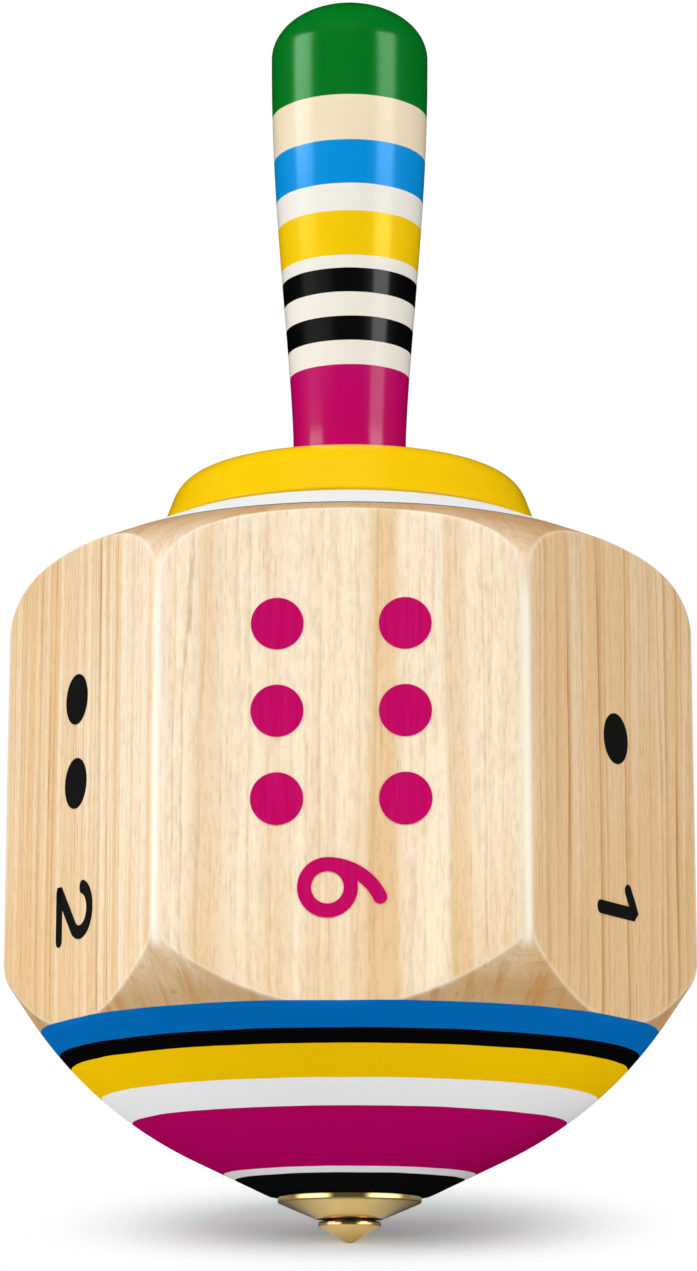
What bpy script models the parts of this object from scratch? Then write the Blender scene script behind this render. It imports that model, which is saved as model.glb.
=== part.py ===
"""Teetotum: a six-sided wooden spinning top with a painted handle and a brass point.

Five turned pieces share one axis, Z. The tip of the point is at the origin, and one of the six flats
faces -Y. From the tip up they are the brass point, the brass ferrule that carries it, the wooden body,
the domed collar and the handle, whose tenon runs down through the collar into the body.
"""

import math

import bmesh
import bpy

# Sizes are in metres and angles in degrees. Radii are from the spin axis, and heights run along it.

# Fits between the pieces
GLUE_GAP = 0.0001
RUNNING_CLEARANCE = 0.00008
BORE_END_GAP = 0.0005

# Brass point: a blunt cone with a rim, a groove above the rim, and a shank
POINT_NOSE_RADIUS = 0.0008
POINT_HEAD_RADIUS = 0.00193
POINT_CONE_HEIGHT = 0.00098
POINT_RIM_HEIGHT = 0.0003
POINT_RIM_ROUND = 0.0001
POINT_GROOVE_DEPTH = 0.00033
POINT_GROOVE_HEIGHT = 0.00005
POINT_SHANK_RADIUS = 0.0012
POINT_SHANK_LENGTH = 0.0085
SHANK_END_CHAMFER = 0.0003

# Brass ferrule: a shallow cone with a rounded rim let into the body's nose, and a sleeve glued into the body
FERRULE_FACE_STEP = 0.0001
FERRULE_RADIUS = 0.00445
FERRULE_CONE_HEIGHT = 0.00101
FERRULE_RIM_HEIGHT = 0.00062
FERRULE_RIM_ROUND = 0.00016
FERRULE_RECESS = 0.0003
FERRULE_SLEEVE_WALL = 0.0009
FERRULE_SLEEVE_LENGTH = 0.008

# Wooden body: two cones blended into a belly, a prism with six flats, and a sloping shoulder
BODY_RADIUS = 0.02172
NOSE_LIP = 0.00047
NOSE_EDGE_ROUND = 0.00008
BELLY_INSET = 0.00592
BELLY_HEIGHT = 0.0051
BELLY_ROUND = 0.0255
UNDERSIDE_HEIGHT = 0.0136
LOWER_EDGE_ROUND = 0.003
PRISM_HEIGHT = 0.02428
CORNER_LAND = 0.0004
SHOULDER_ANGLE = 22.7
SHOULDER_ROUND = 0.00405
SEAT_MARGIN = 0.0002

# Collar: a low dome that the handle stands on
COLLAR_RADIUS = 0.01215
COLLAR_FLANK_INSET = 0.0012
COLLAR_CREST_HEIGHT = 0.0032
COLLAR_CREST_ROUND = 0.0023
COLLAR_HEIGHT = 0.00482
COLLAR_BASE_ROUND = 0.0002
COLLAR_TOP_MARGIN = 0.0002

# Handle: a grip that swells towards its domed top, and a tenon below
HANDLE_FOOT_RADIUS = 0.00362
HANDLE_TOP_RADIUS = 0.00512
HANDLE_LENGTH = 0.03075
HANDLE_FOOT_STRAIGHT = 0.0012
HANDLE_SWELL = 1.35
HANDLE_DOME_HEIGHT = 0.0035
TENON_RADIUS = 0.0026
TENON_DEPTH = 0.012
TENON_END_CHAMFER = 0.0004

# Painted rings, each a colour and a height, counted up from the piece's own lower end
UNDERSIDE_RINGS = (
    ("black_enamel", 0.00093), ("white_enamel", 0.00034), ("magenta_enamel", 0.00304),
    ("white_enamel", 0.00147), ("yellow_enamel", 0.0018), ("black_enamel", 0.00075), ("blue_enamel", 0.00163))
SHOULDER_RING_HEIGHT = 0.0018
HANDLE_RINGS = (
    ("magenta_enamel", 0.0054), ("white_enamel", 0.00153), ("black_enamel", 0.00155),
    ("white_enamel", 0.00155), ("black_enamel", 0.00161), ("white_enamel", 0.00076),
    ("yellow_enamel", 0.00295), ("white_enamel", 0.00177), ("blue_enamel", 0.00286),
    ("cream_enamel", 0.00297), ("green_enamel", HANDLE_LENGTH))

# Finishes: colour, roughness and metallic value
FINISHES = {
    "bare_wood": ((0.84, 0.64, 0.40), 0.55, 0.0),
    "brass": ((0.80, 0.56, 0.24), 0.22, 1.0),
    "black_enamel": ((0.006, 0.006, 0.007), 0.3, 0.0),
    "white_enamel": ((0.84, 0.82, 0.78), 0.35, 0.0),
    "cream_enamel": ((0.86, 0.72, 0.50), 0.3, 0.0),
    "magenta_enamel": ((0.48, 0.002, 0.13), 0.3, 0.0),
    "yellow_enamel": ((0.90, 0.58, 0.005), 0.3, 0.0),
    "blue_enamel": ((0.003, 0.24, 0.62), 0.3, 0.0),
    "green_enamel": ((0.003, 0.21, 0.03), 0.3, 0.0)}

# Faceting of the round pieces
FLATS = 6
BODY_SEGMENTS = 60
COLLAR_SEGMENTS = 48
HANDLE_SEGMENTS = 40
BRASS_SEGMENTS = 32
ARC_STEP = 13.0
BELLY_STEP = 5.0
GRIP_STEPS = 10
DOME_STEPS = 6
SHARP_ANGLE = 35.0
MERGE_DISTANCE = 1e-7

# Sizes that follow from the fits
FERRULE_BORE = POINT_SHANK_RADIUS + RUNNING_CLEARANCE
SLEEVE_RADIUS = FERRULE_BORE + FERRULE_SLEEVE_WALL
SLEEVE_BORE = SLEEVE_RADIUS + GLUE_GAP
RECESS_RADIUS = FERRULE_RADIUS + GLUE_GAP
TENON_BORE = TENON_RADIUS + GLUE_GAP
SEAT_RADIUS = COLLAR_RADIUS + SEAT_MARGIN
BELLY_RADIUS = BODY_RADIUS - BELLY_INSET

# Heights of the pieces' lower ends above the tip
FERRULE_BASE = POINT_CONE_HEIGHT + POINT_RIM_HEIGHT + POINT_GROOVE_HEIGHT + RUNNING_CLEARANCE
FERRULE_TOP = FERRULE_BASE + FERRULE_CONE_HEIGHT + FERRULE_RIM_HEIGHT
BODY_BASE = FERRULE_TOP + GLUE_GAP - FERRULE_RECESS
SHOULDER_CORNER = UNDERSIDE_HEIGHT + PRISM_HEIGHT
BODY_HEIGHT = SHOULDER_CORNER + (BODY_RADIUS - SEAT_RADIUS) * math.tan(math.radians(SHOULDER_ANGLE))
COLLAR_BASE = BODY_BASE + BODY_HEIGHT + GLUE_GAP
HANDLE_BASE = COLLAR_BASE + COLLAR_HEIGHT + GLUE_GAP
TENON_END = HANDLE_BASE - (BODY_BASE + BODY_HEIGHT - TENON_DEPTH)


def clear_scene():
    """Remove every object in the scene."""
    for old in list(bpy.data.objects):
        bpy.data.objects.remove(old, do_unlink=True)


def finish(name):
    """Return the Principled material of that name, making it on first use."""
    material = bpy.data.materials.get(name)
    if material is None:
        colour, roughness, metallic = FINISHES[name]
        material = bpy.data.materials.new(name)
        material.use_nodes = True
        shader = material.node_tree.nodes["Principled BSDF"]
        shader.inputs["Base Color"].default_value = (*colour, 1.0)
        shader.inputs["Roughness"].default_value = roughness
        shader.inputs["Metallic"].default_value = metallic
        material.diffuse_color = (*colour, 1.0)
    return material


def rounded(corners, step=ARC_STEP):
    """Turn corners of (radius, height, rounding) into outline points, with an arc at each rounded corner."""
    points = []
    for index, (radius, height, rounding) in enumerate(corners):
        if rounding == 0.0:
            points.append((radius, height))
            continue
        before = corners[index - 1]
        after = corners[index + 1]
        way_in = math.atan2(height - before[1], radius - before[0])
        way_out = math.atan2(after[1] - height, after[0] - radius)
        turn = math.remainder(way_out - way_in, math.tau)
        reach = rounding * math.tan(abs(turn) / 2.0)
        side = math.copysign(math.pi / 2.0, turn)
        centre_r = radius - reach * math.cos(way_in) + rounding * math.cos(way_in + side)
        centre_z = height - reach * math.sin(way_in) + rounding * math.sin(way_in + side)
        steps = max(2, math.ceil(abs(math.degrees(turn)) / step))
        for count in range(steps + 1):
            angle = way_in - side + turn * count / steps
            points.append((centre_r + rounding * math.cos(angle), centre_z + rounding * math.sin(angle)))
    return points


def turned(outline, segments, closed):
    """Spin an outline of (radius, height) points once round Z and return the mesh as a bmesh."""
    shape = bmesh.new()
    corners = [shape.verts.new((radius, 0.0, height)) for radius, height in outline]
    for first, second in zip(corners, corners[1:]):
        shape.edges.new((first, second))
    if closed:
        shape.edges.new((corners[-1], corners[0]))
    bmesh.ops.spin(
        shape, geom=shape.verts[:] + shape.edges[:], cent=(0.0, 0.0, 0.0), axis=(0.0, 0.0, 1.0),
        angle=math.tau, steps=segments, use_merge=True)
    bmesh.ops.remove_doubles(shape, verts=shape.verts[:], dist=MERGE_DISTANCE)
    bmesh.ops.recalc_face_normals(shape, faces=shape.faces[:])
    return shape


def paint_ring(shape, low, high, slot):
    """Cut the mesh at two heights and give the outward faces between them a material slot."""
    for height in (low, high):
        everything = shape.verts[:] + shape.edges[:] + shape.faces[:]
        bmesh.ops.bisect_plane(
            shape, geom=everything, dist=MERGE_DISTANCE,
            plane_co=(0.0, 0.0, height), plane_no=(0.0, 0.0, 1.0))
    for face in shape.faces:
        centre = face.calc_center_median()
        looks_inward = face.normal.dot(centre.xy.to_3d()) < -0.5 * centre.xy.length
        if low <= centre.z <= high and not looks_inward:
            face.material_index = slot


def paint_rings(shape, rings, slots):
    """Paint a stack of rings up from height zero."""
    low = 0.0
    for name, height in rings:
        paint_ring(shape, low, low + height, slots.index(name))
        low += height


def place(name, shape, slots, base, parent=None):
    """Make a named object from a bmesh, with its origin on the spin axis at the piece's lower end."""
    mesh = bpy.data.meshes.new(name)
    shape.to_mesh(mesh)
    shape.free()
    mesh.shade_smooth()
    mesh.set_sharp_from_angle(angle=math.radians(SHARP_ANGLE))
    for slot in slots:
        mesh.materials.append(finish(slot))
    piece = bpy.data.objects.new(name, mesh)
    piece.location = (0.0, 0.0, base)
    piece.parent = parent
    bpy.context.scene.collection.objects.link(piece)
    return piece


def make_spin_axis():
    """The axis that everything above the point turns about."""
    axis = bpy.data.objects.new("spin_axis", None)
    axis.empty_display_type = "SINGLE_ARROW"
    axis.empty_display_size = HANDLE_BASE
    bpy.context.scene.collection.objects.link(axis)
    return axis


def make_brass_point():
    """A round nose that touches the table, a cone, a rim, a groove and a shank."""
    to_rim = math.hypot(POINT_HEAD_RADIUS, POINT_CONE_HEIGHT - POINT_NOSE_RADIUS)
    rim_angle = math.atan2(POINT_CONE_HEIGHT - POINT_NOSE_RADIUS, POINT_HEAD_RADIUS)
    nose_end = rim_angle - math.acos(POINT_NOSE_RADIUS / to_rim)
    steps = math.ceil(math.degrees(nose_end + math.pi / 2.0) / ARC_STEP)
    nose = []
    for count in range(steps + 1):
        angle = -math.pi / 2.0 + (nose_end + math.pi / 2.0) * count / steps
        nose.append((POINT_NOSE_RADIUS * math.cos(angle), POINT_NOSE_RADIUS * (1.0 + math.sin(angle))))
    neck = POINT_HEAD_RADIUS - POINT_GROOVE_DEPTH
    rim_top = POINT_CONE_HEIGHT + POINT_RIM_HEIGHT
    neck_top = rim_top + POINT_GROOVE_HEIGHT
    shank_end = neck_top + POINT_SHANK_LENGTH
    head = rounded([
        (*nose[-1], 0.0),
        (POINT_HEAD_RADIUS, POINT_CONE_HEIGHT, POINT_RIM_ROUND),
        (POINT_HEAD_RADIUS, rim_top, POINT_RIM_ROUND),
        (neck, rim_top, 0.0),
        (neck, neck_top, 0.0),
        (POINT_SHANK_RADIUS, neck_top, 0.0),
        (POINT_SHANK_RADIUS, shank_end - SHANK_END_CHAMFER, 0.0),
        (POINT_SHANK_RADIUS - SHANK_END_CHAMFER, shank_end, 0.0),
        (0.0, shank_end, 0.0)])
    shape = turned(nose[:-1] + head, BRASS_SEGMENTS, closed=False)
    return place("brass_point", shape, ["brass"], 0.0)


def make_brass_ferrule(axis):
    """A cone with a rounded rim in the body's nose, and a sleeve that guides the point's shank."""
    top = FERRULE_CONE_HEIGHT + FERRULE_RIM_HEIGHT
    outline = rounded([
        (FERRULE_BORE, 0.0, 0.0),
        (POINT_HEAD_RADIUS + FERRULE_FACE_STEP, 0.0, 0.0),
        (FERRULE_RADIUS, FERRULE_CONE_HEIGHT, FERRULE_RIM_ROUND),
        (FERRULE_RADIUS, top, FERRULE_RIM_ROUND),
        (SLEEVE_RADIUS, top, 0.0),
        (SLEEVE_RADIUS, top + FERRULE_SLEEVE_LENGTH, 0.0),
        (FERRULE_BORE, top + FERRULE_SLEEVE_LENGTH, 0.0)])
    shape = turned(outline, BRASS_SEGMENTS, closed=True)
    return place("brass_ferrule", shape, ["brass"], FERRULE_BASE, axis)


def make_flats(axis):
    """The six-sided prism that the turned body is cut down to, with a flat facing -Y."""
    land_angle = math.asin(CORNER_LAND / (2.0 * BODY_RADIUS))
    corner_angle = math.pi / FLATS
    flat_distance = BODY_RADIUS * math.cos(corner_angle - land_angle)
    across_corners = flat_distance / math.cos(corner_angle)
    shape = bmesh.new()
    corners = []
    for count in range(FLATS):
        angle = corner_angle * (2 * count + 1) - math.pi / 2.0
        corner = (across_corners * math.cos(angle), across_corners * math.sin(angle), 0.0)
        corners.append(shape.verts.new(corner))
    floor = shape.faces.new(corners)
    walls = bmesh.ops.extrude_face_region(shape, geom=[floor])
    top = [item for item in walls["geom"] if isinstance(item, bmesh.types.BMVert)]
    bmesh.ops.translate(shape, verts=top, vec=(0.0, 0.0, 2.0 * BODY_HEIGHT))
    bmesh.ops.recalc_face_normals(shape, faces=shape.faces[:])
    prism = place("flats_cutter", shape, ["bare_wood"], BODY_BASE - BODY_HEIGHT / 2.0, axis)
    prism.hide_render = True
    prism.display_type = "WIRE"
    return prism


def make_hex_body(axis, prism):
    """The turned body with its six flats, a socket for the tenon, and a bore and recess for the ferrule."""
    socket_floor = BODY_HEIGHT - TENON_DEPTH - BORE_END_GAP
    shank_reach = POINT_SHANK_LENGTH - (FERRULE_TOP - FERRULE_BASE + RUNNING_CLEARANCE)
    bore_end = FERRULE_RECESS + max(FERRULE_SLEEVE_LENGTH, shank_reach) + BORE_END_GAP
    lower = rounded([
        (0.0, bore_end, 0.0),
        (SLEEVE_BORE, bore_end, 0.0),
        (SLEEVE_BORE, FERRULE_RECESS, 0.0),
        (RECESS_RADIUS, FERRULE_RECESS, 0.0),
        (RECESS_RADIUS, 0.0, 0.0),
        (RECESS_RADIUS + NOSE_LIP, 0.0, NOSE_EDGE_ROUND),
        (BELLY_RADIUS, BELLY_HEIGHT, BELLY_ROUND),
        (BODY_RADIUS, UNDERSIDE_HEIGHT, 0.0)], BELLY_STEP)
    upper = rounded([
        (BELLY_RADIUS, BELLY_HEIGHT, 0.0),
        (BODY_RADIUS, UNDERSIDE_HEIGHT, LOWER_EDGE_ROUND),
        (BODY_RADIUS, SHOULDER_CORNER, SHOULDER_ROUND),
        (SEAT_RADIUS, BODY_HEIGHT, 0.0),
        (TENON_BORE, BODY_HEIGHT, 0.0),
        (TENON_BORE, socket_floor, 0.0),
        (0.0, socket_floor, 0.0)])
    shape = turned(lower[:-1] + upper[1:], BODY_SEGMENTS, closed=False)
    slots = ["bare_wood"] + sorted({name for name, height in UNDERSIDE_RINGS})
    paint_rings(shape, UNDERSIDE_RINGS, slots)
    paint_ring(shape, BODY_HEIGHT - SHOULDER_RING_HEIGHT, BODY_HEIGHT, slots.index("white_enamel"))
    body = place("hex_body", shape, slots, BODY_BASE, axis)
    cut = body.modifiers.new("six_flats", "BOOLEAN")
    cut.operation = "INTERSECT"
    cut.solver = "EXACT"
    cut.object = prism
    return body


def make_collar(axis):
    """The domed ring between the body and the handle, bored for the tenon."""
    outline = rounded([
        (TENON_BORE, 0.0, 0.0),
        (COLLAR_RADIUS, 0.0, COLLAR_BASE_ROUND),
        (COLLAR_RADIUS - COLLAR_FLANK_INSET, COLLAR_CREST_HEIGHT, COLLAR_CREST_ROUND),
        (HANDLE_FOOT_RADIUS + COLLAR_TOP_MARGIN, COLLAR_HEIGHT, 0.0),
        (TENON_BORE, COLLAR_HEIGHT, 0.0)])
    shape = turned(outline, COLLAR_SEGMENTS, closed=True)
    return place("collar", shape, ["yellow_enamel"], COLLAR_BASE, axis)


def make_handle(axis):
    """The grip, whose radius grows as a power of a sine from a straight foot to its dome, and its tenon."""
    outline = [
        (0.0, -TENON_END),
        (TENON_RADIUS - TENON_END_CHAMFER, -TENON_END),
        (TENON_RADIUS, -TENON_END + TENON_END_CHAMFER),
        (TENON_RADIUS, 0.0),
        (HANDLE_FOOT_RADIUS, 0.0)]
    grip_length = HANDLE_LENGTH - HANDLE_DOME_HEIGHT
    for count in range(GRIP_STEPS + 1):
        share = count / GRIP_STEPS
        swell = math.sin(share * math.pi / 2.0) ** HANDLE_SWELL
        radius = HANDLE_FOOT_RADIUS + (HANDLE_TOP_RADIUS - HANDLE_FOOT_RADIUS) * swell
        outline.append((radius, HANDLE_FOOT_STRAIGHT + (grip_length - HANDLE_FOOT_STRAIGHT) * share))
    for count in range(1, DOME_STEPS):
        angle = math.pi / 2.0 * count / DOME_STEPS
        rise = HANDLE_DOME_HEIGHT * math.sin(angle)
        outline.append((HANDLE_TOP_RADIUS * math.cos(angle), grip_length + rise))
    outline.append((0.0, HANDLE_LENGTH))
    shape = turned(outline, HANDLE_SEGMENTS, closed=False)
    slots = ["bare_wood"] + sorted({name for name, height in HANDLE_RINGS})
    paint_rings(shape, HANDLE_RINGS, slots)
    return place("handle", shape, slots, HANDLE_BASE, axis)


clear_scene()
spin_axis = make_spin_axis()
make_brass_point()
make_brass_ferrule(spin_axis)
flats = make_flats(spin_axis)
make_hex_body(spin_axis, flats)
make_collar(spin_axis)
make_handle(spin_axis)
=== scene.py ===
"""Looks of a wooden teetotum: turned pieces, wood grain, enamel rings, printed numbers and a studio."""

import math

import bpy
import numpy as np
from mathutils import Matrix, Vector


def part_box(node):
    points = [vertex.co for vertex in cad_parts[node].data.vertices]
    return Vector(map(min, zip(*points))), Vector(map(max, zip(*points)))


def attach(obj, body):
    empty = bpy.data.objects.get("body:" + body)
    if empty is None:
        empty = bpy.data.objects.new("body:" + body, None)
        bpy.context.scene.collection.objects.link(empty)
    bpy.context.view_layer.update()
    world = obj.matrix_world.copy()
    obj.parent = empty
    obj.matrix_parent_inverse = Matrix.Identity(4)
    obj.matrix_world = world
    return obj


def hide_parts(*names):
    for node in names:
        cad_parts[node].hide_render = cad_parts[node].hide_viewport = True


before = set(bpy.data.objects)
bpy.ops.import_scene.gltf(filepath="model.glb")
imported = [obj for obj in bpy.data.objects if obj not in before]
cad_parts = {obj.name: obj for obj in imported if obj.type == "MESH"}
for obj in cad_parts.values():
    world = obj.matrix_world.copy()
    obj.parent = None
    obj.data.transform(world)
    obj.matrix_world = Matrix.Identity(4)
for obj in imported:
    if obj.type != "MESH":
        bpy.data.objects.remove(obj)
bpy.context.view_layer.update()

# Brass point
# The foot that the top spins on: a blunt cone turned from brass bar, with a rim and a groove above it.
# Its shank runs up inside the ferrule's sleeve, and in use it is the one piece that stays on the table.


def turned_outline(corners, arc_step=4.0):
    """Outline through corners of (radius, height, rounding): each corner gives way to the arc of its
    rounding that touches both of its edges, with a point every arc_step degrees. Returns rows of
    (radius, height)."""
    pieces = []
    for index, (radius, height, rounding) in enumerate(corners):
        here = np.array([radius, height])
        if rounding == 0.0:
            pieces.append(here[None])
            continue
        way_in = here - corners[index - 1][:2]
        way_out = np.array(corners[index + 1][:2]) - here
        start = math.atan2(way_in[1], way_in[0])
        turn = math.remainder(math.atan2(way_out[1], way_out[0]) - start, math.tau)
        reach = rounding * math.tan(abs(turn) / 2.0)
        side = math.copysign(math.pi / 2.0, turn)
        touch = here - reach * np.array([math.cos(start), math.sin(start)])
        centre = touch + rounding * np.array([math.cos(start + side), math.sin(start + side)])
        steps = max(3, math.ceil(abs(math.degrees(turn)) / arc_step))
        angles = start - side + turn * np.linspace(0.0, 1.0, steps + 1)
        pieces.append(centre + rounding * np.stack([np.cos(angles), np.sin(angles)], axis=1))
    return np.concatenate(pieces)


def spun(outline, columns=128):
    """Grid of a turned surface: the outline's (r, z) at angle a is the point (r cos a, r sin a, z)."""
    angles = np.linspace(0.0, math.tau, columns, endpoint=False)
    radius = outline[:, :1]
    height = np.broadcast_to(outline[:, 1:], (len(outline), columns))
    return np.stack([radius * np.cos(angles), radius * np.sin(angles), height], axis=-1)


def grid_mesh(name, grid, ends="poles", sharp_angle=32.0):
    """Closed mesh from a grid whose columns run round the axis and whose rows run up the outside. Ends are
    closed by a pole at the middle of the first and last row, or by joining the last row to the first."""
    rows, columns = grid.shape[:2]
    index = np.arange(rows * columns).reshape(rows, columns)
    points = grid.reshape(-1, 3)
    lower = index if ends == "ring" else index[:-1]
    upper = np.roll(index, -1, axis=0) if ends == "ring" else index[1:]
    quads = np.stack([lower, np.roll(lower, -1, axis=1), np.roll(upper, -1, axis=1), upper], axis=-1)
    faces = quads.reshape(-1, 4).tolist()
    if ends == "poles":
        poles = np.stack([grid[0].mean(axis=0), grid[-1].mean(axis=0)])
        first = np.full(columns, len(points))
        faces += np.stack([np.roll(index[0], -1), index[0], first], axis=1).tolist()
        faces += np.stack([index[-1], np.roll(index[-1], -1), first + 1], axis=1).tolist()
        points = np.concatenate([points, poles])
    mesh = bpy.data.meshes.new(name)
    mesh.from_pydata(points, [], faces)
    mesh.shade_smooth()
    mesh.set_sharp_from_angle(angle=math.radians(sharp_angle))
    piece = bpy.data.objects.new(name, mesh)
    bpy.context.scene.collection.objects.link(piece)
    return piece


class Socket:
    """One output of a material's nodes. Arithmetic on it adds Math nodes, and add makes any other node."""

    def __init__(self, tree, link):
        self.tree = tree
        self.link = link

    def add(self, kind, settings, sockets, output=0):
        """Make a node, set its settings first, then its sockets' values or links, and return one output."""
        node = self.tree.nodes.new(kind)
        for name, value in settings.items():
            if name == "stops":
                ramp = node.color_ramp
                while len(ramp.elements) < len(value):
                    ramp.elements.new(1.0)
                for element, (position, colour) in zip(ramp.elements, value):
                    element.position = position
                    element.color = colour
            elif name == "interpolation":
                node.color_ramp.interpolation = value
            else:
                setattr(node, name, value)
        for name, value in sockets.items():
            if isinstance(value, Socket):
                self.tree.links.new(value.link, node.inputs[name])
            else:
                node.inputs[name].default_value = value
        return Socket(self.tree, node.outputs[output])

    def other(self, output):
        """Another output of the node that this one belongs to."""
        return Socket(self.tree, self.link.node.outputs[output])

    def maths(self, operation, first, second=0.0):
        """Math node of that operation on two values."""
        return self.add("ShaderNodeMath", {"operation": operation}, {0: first, 1: second})

    def __add__(self, other):
        return self.maths("ADD", self, other)

    def __radd__(self, other):
        return self.maths("ADD", other, self)

    def __sub__(self, other):
        return self.maths("SUBTRACT", self, other)

    def __rsub__(self, other):
        return self.maths("SUBTRACT", other, self)

    def __mul__(self, other):
        return self.maths("MULTIPLY", self, other)

    def __rmul__(self, other):
        return self.maths("MULTIPLY", other, self)

    def __truediv__(self, other):
        return self.maths("DIVIDE", self, other)

    def __pow__(self, other):
        return self.maths("POWER", self, other)

    def vector(self, operation, second=(0.0, 0.0, 0.0)):
        """Vector Math node on this vector and a second one. LENGTH gives a number, the others a vector."""
        output = "Value" if operation == "LENGTH" else "Vector"
        return self.add("ShaderNodeVectorMath", {"operation": operation}, {0: self, 1: second}, output)

    def noise(self, scale, detail, roughness=0.5):
        """Noise from 0 to 1 at this place, with scale features a unit and detail finer layers on them."""
        sockets = {"Vector": self, "Scale": scale, "Detail": detail, "Roughness": roughness}
        return self.add("ShaderNodeTexNoise", {}, sockets, "Fac")

    def noise_along(self, scale, detail, roughness=0.5):
        """Noise from 0 to 1 along a line, at this distance from its start."""
        sockets = {"W": self, "Scale": scale, "Detail": detail, "Roughness": roughness}
        return self.add("ShaderNodeTexNoise", {"noise_dimensions": "1D"}, sockets, "Fac")

    def blend(self, first, second):
        """Colour that goes from the first to the second as this value goes from 0 to 1."""
        return self.add(
            "ShaderNodeMix", {"data_type": "RGBA"}, {"Factor": self, "A": first, "B": second}, "Result")

    def feeds(self, name):
        """Link this socket to an input of the material's shader."""
        self.tree.links.new(self.link, self.tree.nodes["Principled BSDF"].inputs[name])

    def raises(self, strength, distance):
        """Bump the material's surface: this value times the distance, in metres, is how far it stands up,
        and strength is the share of that which shows."""
        sockets = {"Height": self, "Strength": strength, "Distance": distance}
        self.add("ShaderNodeBump", {}, sockets, "Normal").feeds("Normal")


def finish(name, **constants):
    """New material with a Principled shader whose own sockets hold the constants, given as Coat_Weight=0.3.
    Returns the material and its Object coordinates in millimetres."""
    material = bpy.data.materials.new(name)
    material.use_nodes = True
    shader = material.node_tree.nodes["Principled BSDF"]
    for socket, value in constants.items():
        shader.inputs[socket.replace("_", " ")].default_value = value
    coordinates = material.node_tree.nodes.new("ShaderNodeTexCoord").outputs["Object"]
    metres = Socket(material.node_tree, coordinates)
    millimetres = metres.add(
        "ShaderNodeVectorMath", {"operation": "SCALE"}, {"Vector": metres, "Scale": 1000.0}, "Vector")
    return material, millimetres


def ease(value, low, high, top=1.0):
    """Smooth step: 0 below low, top above high."""
    return value.add(
        "ShaderNodeMapRange", {"interpolation_type": "SMOOTHSTEP"},
        {"Value": value, "From Min": low, "From Max": high, "To Max": top}, "Result")


point_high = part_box("brass_point")[1]
POINT_HEAD_RADIUS = point_high[0]
POINT_NOSE_RADIUS = 0.0008
POINT_CONE_HEIGHT = 0.00098
POINT_RIM_TOP = 0.00128
POINT_RIM_ROUND = 0.00011
POINT_NECK_RADIUS = 0.0016
POINT_NECK_TOP = 0.00133
POINT_SHANK_RADIUS = 0.0012
SHANK_END_CHAMFER = 0.0003
NOSE_STEPS = 12

# The nose is a ball on the tip, up to where a line from the rim touches it.
to_rim = math.hypot(POINT_HEAD_RADIUS, POINT_CONE_HEIGHT - POINT_NOSE_RADIUS)
rim_angle = math.atan2(POINT_CONE_HEIGHT - POINT_NOSE_RADIUS, POINT_HEAD_RADIUS)
nose_end = rim_angle - math.acos(POINT_NOSE_RADIUS / to_rim)
nose_angles = np.linspace(-math.pi / 2.0, nose_end, NOSE_STEPS + 1)[1:]
nose = POINT_NOSE_RADIUS * np.stack([np.cos(nose_angles), 1.0 + np.sin(nose_angles)], axis=1)
above_nose = turned_outline([
    (*nose[-1], 0.0),
    (POINT_HEAD_RADIUS, POINT_CONE_HEIGHT, POINT_RIM_ROUND),
    (POINT_HEAD_RADIUS, POINT_RIM_TOP, POINT_RIM_ROUND),
    (POINT_NECK_RADIUS, POINT_RIM_TOP, 0.0),
    (POINT_NECK_RADIUS, POINT_NECK_TOP, 0.0),
    (POINT_SHANK_RADIUS, POINT_NECK_TOP, 0.0),
    (POINT_SHANK_RADIUS, point_high[2] - SHANK_END_CHAMFER, 0.0),
    (POINT_SHANK_RADIUS - SHANK_END_CHAMFER, point_high[2], 0.0)], arc_step=9.0)
brass_point = grid_mesh("turned_brass_point", spun(np.concatenate([nose[:-1], above_nose])))

BRASS_BRIGHT = (0.89, 0.65, 0.26, 1.0)
BRASS_DULL = (0.82, 0.57, 0.21, 1.0)
BRASS_GRIME_AND_SHADE = (0.03, 0.02, 0.01, 1.0)
TOOL_LINES_PER_MM = 9.0
GRIME_AND_SHADE_STARTS_MM = (1.24, 1.3)
GRIME_AND_SHADE_ENDS_MM = (1.41, 1.47)
POLISHED_RIM_MM = (2.36, 2.46)
RIM_POLISH = 0.07

brass, place = finish("turned_brass", Metallic=1.0)
radius_mm = place.vector("MULTIPLY", (1.0, 1.0, 0.0)).vector("LENGTH")
height_mm = place.add("ShaderNodeSeparateXYZ", {}, {"Vector": place}, "Z")
tool_lines = ((radius_mm - height_mm) * TOOL_LINES_PER_MM).noise_along(scale=1.0, detail=3.0, roughness=0.7)
tarnish = place.noise(scale=0.55, detail=5.0)
# The groove between the ferrule and the point's rim is painted dark brown and made rougher: painted shade in
# the recess, with some grime.
grime_and_shade = ease(height_mm, *GRIME_AND_SHADE_STARTS_MM) * (1.0 - ease(height_mm, *GRIME_AND_SHADE_ENDS_MM))
polish = ((tarnish - 0.35) * 1.6).blend(BRASS_BRIGHT, BRASS_DULL)
(grime_and_shade * 0.9).blend(polish, BRASS_GRIME_AND_SHADE).feeds("Base Color")
polished_rim = ease(height_mm, *POLISHED_RIM_MM, top=RIM_POLISH)
(0.07 + tool_lines * 0.07 + tarnish * 0.06 + grime_and_shade * 0.3 - polished_rim).feeds("Roughness")
tool_lines.raises(strength=0.1, distance=0.000012)
brass_point.data.materials.append(brass)
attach(brass_point, "point")
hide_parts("brass_point")

# Brass ferrule
# A shallow turned cone with a rounded rim, which guards the nose of the body. Its sleeve is glued up into
# the wood and guides the point's shank. Same bar and same finish as the point.

ferrule_low, ferrule_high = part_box("brass_ferrule")
FERRULE_RADIUS = ferrule_high[0]
FERRULE_FACE_RADIUS = 0.00203
FERRULE_CONE_HEIGHT = 0.00101
FERRULE_RIM_HEIGHT = 0.00062
FERRULE_RIM_ROUND = 0.00016
FERRULE_FACE_ROUND = 0.00006
SLEEVE_RADIUS = 0.00218
SLEEVE_BORE = 0.00128

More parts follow.
